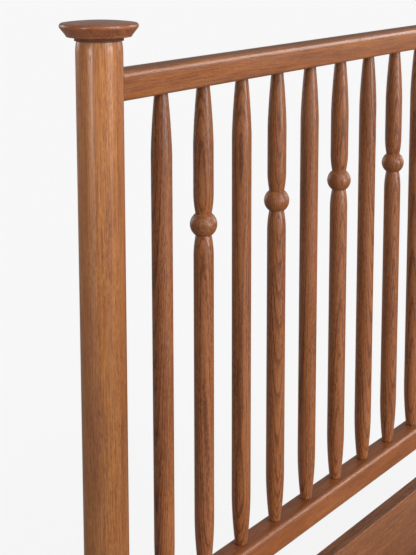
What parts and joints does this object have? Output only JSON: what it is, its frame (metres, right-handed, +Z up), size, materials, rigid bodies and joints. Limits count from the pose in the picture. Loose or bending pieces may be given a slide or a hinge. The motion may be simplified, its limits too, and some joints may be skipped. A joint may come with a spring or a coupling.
{
  "type": "spindle bed",
  "caption": "Double bed frame with a tall headboard of turned spindles, round posts with mushroom caps, a low panel foot end and a slatted platform.",
  "frame": {"origin": "on the floor, under the middle of the bed's plan", "axes": "+Y towards the head end, +Z up, +X to the right of somebody who stands at the foot and looks at the headboard"},
  "size_m": [1.633, 2.125, 1.15],
  "materials": {
    "turned_post_wood": "mid-brown stain under satin lacquer, upright grain",
    "turned_cap_wood": "mid-brown stain under satin lacquer, grain across the cap",
    "turned_spindle_wood": "reddish mid-brown stain under satin lacquer, upright grain",
    "rail_wood": "mid-brown stain under satin lacquer, grain along the rail",
    "board_wood": "mid-brown stain under satin lacquer, grain along the board",
    "slat_wood": "planed and unfinished pale softwood",
    "support_wood": "planed and unfinished pale hardwood",
    "black_steel": "black powder coat",
    "zinc_steel": "zinc plated",
    "glide_plastic": "moulded, matt"
  },
  "bodies": {
    "bed_frame": {"barrel_nuts": "zinc_steel", "bed_bolts": "zinc_steel", "bracket_screws": "zinc_steel", "centre_leg_foot_side": "support_wood", "centre_leg_head_side": "support_wood", "centre_rail": "support_wood", "centre_rail_brackets": "black_steel", "foot_cap_left": "turned_cap_wood", "foot_cap_right": "turned_cap_wood", "foot_panel": "board_wood", "foot_post_left": "turned_post_wood", "foot_post_right": "turned_post_wood", "head_cap_left": "turned_cap_wood", "head_cap_right": "turned_cap_wood", "head_lower_rail": "rail_wood", "head_panel": "board_wood", "head_post_left": "turned_post_wood", "head_post_right": "turned_post_wood", "head_top_rail": "rail_wood", "ledge_screws": "zinc_steel", "leg_hanger_bolts": "zinc_steel", "leg_threaded_inserts": "zinc_steel", "post_glides": "glide_plastic", "side_rail_left": "board_wood", "side_rail_right": "board_wood", "slat_01": "slat_wood", "slat_02": "slat_wood", "slat_03": "slat_wood", "slat_04": "slat_wood", "slat_05": "slat_wood", "slat_06": "slat_wood", "slat_07": "slat_wood", "slat_08": "slat_wood", "slat_09": "slat_wood", "slat_10": "slat_wood", "slat_11": "slat_wood", "slat_12": "slat_wood", "slat_ledge_left": "support_wood", "slat_ledge_right": "support_wood", "slat_screws": "zinc_steel", "spindle_01_plain": "turned_spindle_wood", "spindle_02_beaded": "turned_spindle_wood", "spindle_03_plain": "turned_spindle_wood", "spindle_04_beaded": "turned_spindle_wood", "spindle_05_plain": "turned_spindle_wood", "spindle_06_beaded": "turned_spindle_wood", "spindle_07_plain": "turned_spindle_wood", "spindle_08_beaded": "turned_spindle_wood", "spindle_09_plain": "turned_spindle_wood", "spindle_10_beaded": "turned_spindle_wood", "spindle_11_plain": "turned_spindle_wood", "spindle_12_beaded": "turned_spindle_wood", "spindle_13_plain": "turned_spindle_wood", "spindle_14_beaded": "turned_spindle_wood", "spindle_15_plain": "turned_spindle_wood", "spindle_16_beaded": "turned_spindle_wood", "spindle_17_plain": "turned_spindle_wood"},
    "head_side_levelling_foot": {"levelling_foot_head_side": "zinc_steel"},
    "foot_side_levelling_foot": {"levelling_foot_foot_side": "zinc_steel"}
  },
  "joints": [
    {"name": "head_side_levelling", "type": "slide", "parent": "bed_frame", "child": "head_side_levelling_foot", "axis": [0, 0, 1], "range_m": [-0.008, 0.008]},
    {"name": "foot_side_levelling", "type": "slide", "parent": "bed_frame", "child": "foot_side_levelling_foot", "axis": [0, 0, 1], "range_m": [-0.008, 0.008]}
  ]
}
